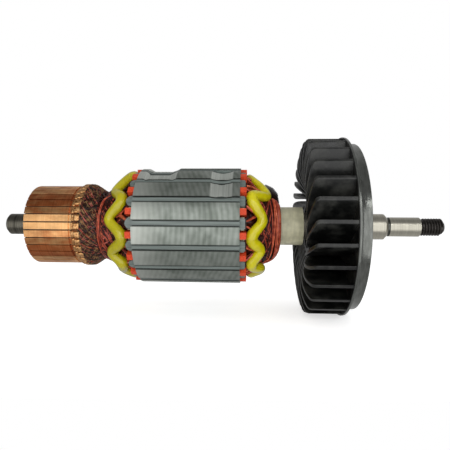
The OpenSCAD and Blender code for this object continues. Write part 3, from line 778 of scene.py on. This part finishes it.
def coil_strands(name, head, seed, last_tones):
    """The wires of sixteen coils, each arching over the head from slot to slot."""
    rnd = random.Random(seed)
    wire_r = 0.4
    steps = 44
    # The share of half a span where a wire stops, and of a bundle's half width that the wires fill
    end = 0.985
    fill = 0.92
    # How soon and how steeply covered wires come out from under the blackened coil
    cover_run = 0.1
    cover_slope = 12
    # How soon bundles gather towards their slots, how fast a wire wanders, and the margin at a head's ends
    gather = 1.5
    last_gather = 1.6
    wander = 3
    edge = 0.01
    runs = []
    for i in range(SLOTS):
        middle = head.first + i * SLOT_PITCH
        last = i % LAST_EVERY == 0
        half_w = LAST_HALF_W if last else BUNDLE_HALF_W
        count = 11 if last else 6
        start = COVERED_SHARE if last and head.side > 0 else -end
        for k in range(count):
            off = (k + 0.5) / count * 2 - 1
            phase = rnd.uniform(0, 2 * math.pi)
            wobble = rnd.uniform(0.04, 0.14)
            sink = rnd.uniform(-0.3, 0.05) if last else rnd.uniform(-0.4, -0.2)
            thick = rnd.uniform(0.65, 0.9)
            drift = rnd.uniform(-0.45, 0.45)
            points = []
            for j in range(steps + 1):
                d = start + (end - start) * j / steps
                arch = math.sqrt(1 - d * d)
                across = min(max(off + drift * d, -1), 1) * half_w * fill
                plunge = max(0, start + cover_run - d) * cover_slope
                if last:
                    at = LAST_REACH_AT_SLOT + (LAST_REACH - LAST_REACH_AT_SLOT) * arch
                    at *= min(1, arch * last_gather)
                else:
                    at = BUNDLE_REACH * arch
                aside = across * min(1, arch * gather) + wobble * math.sin(wander * d + phase)
                u = at + aside / head.length
                u = min(max(u, edge), 1 - edge)
                points.append(on_head(head, middle + d * COIL_HALF_SPAN, u, wire_r + sink - plunge, last))
            # the last coils' strands take lighter and darker tones in turn, painted highlights and painted
            # shade between them
            tone = last_tones[k % len(last_tones)] if last else rnd.choice((DARK, DARK, DARK, RED))
            runs.append((points, tone, False, [thick] * len(points)))
    piece = wires(name, runs, wire_r, COIL_ENAMELS)
    settle(piece, "enamelled_wire")


def dark_coil():
    """The coil wound before the last one of the front head: black, it stands over the top of the others."""
    rnd = random.Random(19)
    layers = 3
    layer_step = 0.65
    strands = 16
    steps = 32
    unevenness = 0.15
    ripple = 0.06
    bow = 0.05
    runs = []
    for layer in range(layers):
        for k in range(strands + 1):
            off = rnd.uniform(-unevenness, unevenness)
            u, crown = along(DARK_COIL_SPREAD, (k + off) / strands)
            points = []
            for j in range(steps + 1):
                d = -1 + 2 * j / steps
                sag = DARK_COIL_SAG * d ** 6
                lift = crown - layer * layer_step - sag + ripple * math.sin(9 * d + k)
                a = DARK_COIL_ANGLE + DARK_COIL_HALF_SPAN * d
                points.append(on_head(FRONT_HEAD, a, u - bow * d * d, lift, False))
            runs.append((points, 0, False, None))
    piece = wires("front_dark_coil", runs, radius=0.42, materials=[WIRE_BLACK])
    settle(piece, "enamelled_wire")


def slot_exit_wires(name, head, seed):
    """The coil sides where they leave the slots, spreading to both sides under the bead."""
    rnd = random.Random(seed)
    lowest_r = 21.8
    runs = []
    for i in range(SLOTS):
        slot = SLOT_PHASE + i * SLOT_PITCH
        for way in (-1, 1):
            for top in (23.6, 22.7, lowest_r):
                swing = rnd.uniform(0.8, 1.2) * way
                rise = (top - lowest_r) * 0.35
                # Distance from the core's end, radius, and turn from the slot, along one wire
                path = [
                    (1.0, top, 1.6 * way), (3.0, top - 0.3, 3.2 * swing), (5.0, top - 1.5, 6.5 * swing),
                    (7.0, 19.4 + rise, 10.5 * swing), (9.5, 17.8 + rise, 15 * swing),
                ]
                points = [place(head.x + head.side * distance, r, slot + turn) for distance, r, turn in path]
                runs.append((points, rnd.choice((DARK, RED, ORANGE, PINK)), False, None))
    piece = wires(name, runs, radius=0.42, materials=COIL_ENAMELS)
    settle(piece, "enamelled_wire")


def profile_wires(rnd, profile, layers, tones, begin_x, weave=0, shade_from=0, shade_to=0):
    """Wires over a ring profile of (distance, radius) points; a layer is (step, twist, height above it).

    They ride over the rear coil head and dip between one another by weave. Each draws the number of its
    material from tones, but those whose middle lies between the two angles given last take 0, as painted
    shade.
    """
    steps = 14
    head_clearance = 0.5
    uneven_lift = 0.12
    weave_step = 1.3
    runs = []
    for step, twist, lift in layers:
        for i in range(round(360 / step)):
            a = i * step + rnd.uniform(-0.2, 0.2) * step
            turn = twist * rnd.uniform(0.75, 1.25)
            raised = lift + rnd.uniform(-uneven_lift, uneven_lift)
            phase = rnd.uniform(0, 2 * math.pi)
            points = []
            for j in range(steps + 1):
                t = j / steps
                distance = profile[-1][0] * t
                angle = a + turn * t
                over_head = rear_head_radius(begin_x + distance, angle) + head_clearance
                ground = max(lookup(profile, distance), over_head)
                dip = weave * math.sin(weave_step * j + phase)
                points.append(place(begin_x + distance, ground + raised + dip, angle))
            tone = rnd.choice(tones)
            # strands between the two angles are painted shade
            in_painted_shade = shade_from < signed_angle(a + turn / 2) < shade_to
            runs.append((points, 0 if in_painted_shade else tone, False, None))
    return runs


def lead_wires():
    """The dark mesh of leads from the hooks to the neck, and the redder strands that dive under the bead."""
    rnd = random.Random(7)
    mesh_x = BARS_FRONT_X - 1.2
    mesh = [(0.0, 18.6), (1.2, 18.75), (2.4, 18.35), (4.0, 17.3), (5.6, 16.2), (7.0, 15.4)]
    layers = [(7.5, 26, 0.1), (7.5, -22, 0.25), (7.5, 34, 0.4), (6.5, -30, 0.5)]
    runs = profile_wires(rnd, mesh, layers, (0, 0, 0, 0, 1), mesh_x, weave=0.12)
    piece = wires("lead_wires", runs, radius=0.3, materials=[WIRE_LEAD, COIL_ENAMELS[DARK]])
    settle(piece, "enamelled_wire")
    # thin pale strands that weave in and out: painted glints
    glints = [(6.5, 30, 0.5), (6.5, -26, 0.55), (7.5, 40, 0.55)]
    runs = profile_wires(rnd, mesh, glints, (0,), mesh_x, weave=0.4)
    piece = wires("lead_painted_glints", runs, radius=0.15, materials=[WIRE_PAINTED_GLINT])
    settle(piece, "enamelled_wire")
    ends = [(BAR_PITCH, 26, 0.66), (BAR_PITCH, 32, 0.5)]
    runs = profile_wires(rnd, mesh, ends, (0, 1, 1), mesh_x)
    piece = wires("lead_ends", runs, radius=0.16, materials=[COIL_ENAMELS[RED], COIL_ENAMELS[PINK]])
    settle(piece, "enamelled_wire")
    neck_x = BARS_FRONT_X + 3.2
    neck = [(0.0, 16.5), (1.6, 15.6), (3.2, 15.1), (5.5, 15.4), (8.5, 16.7), (11.5, 18.4)]
    layers = [(5, 34, 0.0), (6, -22, 0.2), (6, 46, 0.35), (9, 70, 0.5)]
    tones = (*[DARK] * 6, RED, RED, ORANGE, ORANGE, PINK)
    # strands whose middle lies between -110 and -20 degrees are dark: painted shade on the upper neck
    runs = profile_wires(rnd, neck, layers, tones, neck_x, weave=0.1, shade_from=-110, shade_to=-20)
    piece = wires("neck_wires", runs, radius=0.25, materials=COIL_ENAMELS)
    settle(piece, "enamelled_wire")


def new_mesh(name, build, material, smooth=True):
    """A mesh piece whose bmesh is filled by build, in metres."""
    shape = bmesh.new()
    build(shape)
    data = bpy.data.meshes.new(name)
    shape.to_mesh(data)
    shape.free()
    data.materials.append(material)
    for face in data.polygons:
        face.use_smooth = smooth
    return new_object(name, data)


def rolled_thread():
    """The M8 thread, a helical ridge round the shaft's threaded end."""
    pitch = 1.25
    core_r = 3.28
    crest_r = 4.08
    crest_round = 0.05
    run_in = 0.6
    turns = 7
    steps = 32
    # Section of the ridge: distance along the shaft and radius
    section = [
        (0, core_r), (0.5, crest_r - crest_round), (0.62, crest_r), (0.74, crest_r - crest_round),
        (pitch, core_r),
    ]

    def build(shape):
        begin_x = PINION_END_X + run_in
        verts = [shape.verts.new(place(begin_x + x, r, 0)) for x, r in section]
        edges = [shape.edges.new(pair) for pair in zip(verts, verts[1:])]
        bmesh.ops.spin(
            shape, geom=verts + edges, cent=(0, 0, 0), axis=(1, 0, 0), dvec=(pitch * MM / steps, 0, 0),
            angle=2 * math.pi * turns, steps=steps * turns, use_merge=False, use_duplicate=False,
        )
        bmesh.ops.recalc_face_normals(shape, faces=shape.faces)

    piece = new_mesh("rolled_thread", build, BLACK_STEEL, smooth=False)
    settle(piece, "shaft_steel")


def copper_block(shape, a, from_x, to_x, low_r, high_r, low_w, high_w, rounding, segments=2):
    """A block along the shaft at angle a, tapered towards the axis, with rounded edges."""
    verts = bmesh.ops.create_cube(shape, size=1)["verts"]
    for vert in verts:
        outer = vert.co.y < 0
        width = high_w if outer else low_w
        radius = high_r if outer else low_r
        middle = (from_x + to_x) / 2
        vert.co = Vector((middle + vert.co.x * (to_x - from_x), -radius, vert.co.z * width)) * MM
    edges = list({e for v in verts for e in v.link_edges})
    bevelled = bmesh.ops.bevel(
        shape, geom=edges, offset=rounding * MM, segments=segments, profile=0.5, affect="EDGES", material=-1,
    )
    every = list({v for f in bevelled["faces"] for v in f.verts})
    bmesh.ops.rotate(shape, verts=every, cent=(0, 0, 0), matrix=Matrix.Rotation(math.radians(a), 3, "X"))
    return every


def commutator():
    """Thirty-two bars with a turned track, the groove before the hooks, and tongues folded over the leads."""
    rnd = random.Random(11)
    track_w = 2 * math.pi * TRACK_R / BARS - BAR_GAP
    foot_w = track_w * 0.8
    track_end = BARS_REAR_X + TRACK_LEN
    groove_end = track_end + GROOVE_W
    lap = 0.3
    bar_round = 0.12

    def bars(shape):
        film = shape.verts.layers.float.new("film")
        for i in range(BARS):
            a = BAR_PHASE + (i + 0.5) * BAR_PITCH
            drawn = rnd.uniform(0.35, 1.0)
            amount = BAR_FILM.get(i, drawn)
            made = copper_block(
                shape, a, from_x=BARS_REAR_X, to_x=track_end, low_r=SHOULDER_R, high_r=TRACK_R - 0.02,
                low_w=foot_w, high_w=track_w, rounding=bar_round,
            )
            made += copper_block(
                shape, a, from_x=track_end - lap, to_x=groove_end + lap, low_r=SHOULDER_R,
                high_r=TRACK_R - GROOVE_DEEP, low_w=foot_w, high_w=track_w - 0.1, rounding=0.1,
            )
            made += copper_block(
                shape, a, from_x=groove_end, to_x=BARS_FRONT_X, low_r=SHOULDER_R, high_r=HOOK_LAND_R,
                low_w=foot_w, high_w=track_w, rounding=bar_round,
            )
            for vert in made:
                vert[film] = amount

    def hooks(shape):
        tongue_len = 4.7
        low = HOOK_LAND_R - 0.4
        for i in range(BARS):
            a = BAR_PHASE + (i + 0.5) * BAR_PITCH
            shift = rnd.uniform(-0.15, 0.15)
            lean = rnd.uniform(-0.5, 0.5)
            high = HOOK_R + rnd.uniform(-0.1, 0.05)
            back = BARS_FRONT_X - tongue_len + shift
            copper_block(
                shape, a + lean, from_x=back + 1.5, to_x=BARS_FRONT_X - 0.1, low_r=low, high_r=high,
                low_w=3.4, high_w=3.0, rounding=0.7, segments=4,
            )
            copper_block(
                shape, a - lean, from_x=back + 0.4, to_x=back + 1.8, low_r=low, high_r=high - 0.7,
                low_w=3.4, high_w=2.9, rounding=0.4, segments=3,
            )

    names = [f"commutator_bar_{i + 1:02d}" for i in range(BARS)]
    settle(new_mesh("commutator_bars", bars, COPPER, smooth=False), "bar_copper", *names)
    settle(new_mesh("staked_hooks", hooks, HOOK_COPPER), "bar_copper")


def moulded_fan():
    """The fan's own shape with its moulded edges rounded, so that they catch the light."""
    def build(shape):
        shape.from_mesh(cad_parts["fan"].data)
        bmesh.ops.remove_doubles(shape, verts=shape.verts, dist=0.002 * MM)
        bmesh.ops.dissolve_limit(
            shape, angle_limit=math.radians(1), use_dissolve_boundaries=False,
            verts=shape.verts, edges=shape.edges,
        )

    piece = new_mesh("moulded_fan", build, NYLON)
    piece.data.set_sharp_from_angle(angle=math.radians(35))
    rounding = piece.modifiers.new("rounded_edges", "BEVEL")
    rounding.width = 0.22 * MM
    rounding.segments = 2
    rounding.limit_method = "ANGLE"
    rounding.angle_limit = math.radians(40)
    rounding.use_clamp_overlap = False
    rounding.harden_normals = True
    settle(piece, "fan_plastic", "fan")


# Lighter and darker enamels in turn along the last coils' strands: painted highlights and painted shade
FRONT_LAST_TONES = (RED, ORANGE, RED, ORANGE, PINK, RED, ORANGE, ORANGE, RED, PINK, ORANGE)
REAR_LAST_TONES = (DARK, RED, DARK, ORANGE, DARK, RED)

resin_zigzag("front_resin_bead", FRONT_HEAD, FRONT_TURNS, FRONT_POOLS, FRONT_RESIN, "front_bead")
resin_zigzag("rear_resin_bead", REAR_HEAD, REAR_TURNS, REAR_POOLS, SHADED_REAR_RESIN, "rear_bead")
coil_strands("front_coil_strands", FRONT_HEAD, seed=3, last_tones=FRONT_LAST_TONES)
coil_strands("rear_coil_strands", REAR_HEAD, seed=5, last_tones=REAR_LAST_TONES)
dark_coil()
slot_exit_wires("front_slot_exit_wires", FRONT_HEAD, seed=13)
slot_exit_wires("rear_slot_exit_wires", REAR_HEAD, seed=17)
lead_wires()
rolled_thread()
commutator()
moulded_fan()


# Stage: pale floor, white surroundings and soft studio light
FLOOR_Z = -41.4


def lay_floor():
    def build(shape):
        bmesh.ops.create_grid(shape, x_segments=1, y_segments=1, size=3)
        bmesh.ops.translate(shape, verts=shape.verts, vec=(0, 0, FLOOR_Z * MM))

    # Matt white board, lit enough to fade into the surroundings
    made, tree = begin("pale_floor")[:2]
    shader = add(tree, "BsdfPrincipled", {
        "Base Color": (0.9, 0.9, 0.9, 1), "Roughness": 0.9,
        "Emission Color": (1, 1, 1, 1), "Emission Strength": 0.6,
    })
    add(tree, "OutputMaterial", {"Surface": shader})
    floor = new_mesh("floor", build, made, smooth=False)
    floor.visible_glossy = False
    floor.visible_diffuse = False


def light_room():
    """White surroundings: the camera sees them plain, and metal mirrors darker and lighter walls."""
    world = bpy.data.worlds.new("studio")
    bpy.context.scene.world = world
    world.use_nodes = True
    tree = world.node_tree
    tree.nodes.clear()
    direction = add(tree, "TexCoord").outputs["Generated"]
    ahead = add(tree, "SeparateXYZ", {"Vector": direction}).outputs["X"]
    share = add(tree, "MapRange", {
        "Value": turn_of(tree, direction), "From Min": -math.pi, "From Max": math.pi,
    })
    # Shares of a turn round the shaft: a quarter is overhead, a half the camera's side, three quarters below
    mirrored = add(tree, "ValToRGB", {0: share}, [
        (0.0, "#b4b4b4"), (1.0, "#b4b4b4"), (0.17, "#b0b0b0"), (0.25, "#848484"), (0.34, "#7f7f7f"),
        (0.5, "#8c8c8c"), (0.64, "#a4a4a4"), (0.75, "#b4b4b4"), (0.86, "#bebebe"),
    ])
    scattered = add(tree, "ValToRGB", {0: share}, [
        (0.0, "#dcdcdc"), (1.0, "#dcdcdc"), (0.5, "#dcdcdc"), (0.75, "#f2f2f2"),
    ])
    path = add(tree, "LightPath")
    spread = add(tree, "Mix", {
        0: path.outputs["Is Glossy Ray"], MIX_A: scattered, MIX_B: mirrored,
    }, data_type="RGBA")
    side = add(tree, "MapRange", {
        "Value": ahead, "From Min": -1.0, "From Max": 0.0, "To Min": 0.5,
    })
    lit = add(tree, "VectorMath", {0: spread.outputs[MIX_OUT], "Scale": side}, operation="SCALE")
    seen = add(tree, "Mix", {
        0: path.outputs["Is Camera Ray"], MIX_A: lit, MIX_B: (1, 1, 1, 1),
    }, data_type="RGBA")
    sky = add(tree, "Background", {"Color": seen.outputs[MIX_OUT]})
    add(tree, "OutputWorld", {"Surface": sky})
    bpy.context.scene.view_settings.view_transform = "Standard"


def softbox(name, at, target, width, height, glow):
    """A rectangular light of width by height millimetres, whose face glows with the given radiance."""
    data = bpy.data.lights.new(name, "AREA")
    data.shape = "RECTANGLE"
    data.size = width * MM
    data.size_y = height * MM
    data.energy = glow * math.pi * data.size * data.size_y
    light = new_object(name, data)
    light.visible_camera = False
    begin_at = Vector(at) * MM
    aim = Vector(target) * MM - begin_at
    light.matrix_world = Matrix.Translation(begin_at) @ aim.to_track_quat("-Z", "Y").to_matrix().to_4x4()


lay_floor()
light_room()
softbox("broad_light", at=(-10, -420, -55), target=(-10, 0, 0), width=900, height=540, glow=1.08)
softbox("strip_light", at=(10, -400, 220), target=(-40, 0, 0), width=460, height=40, glow=5)
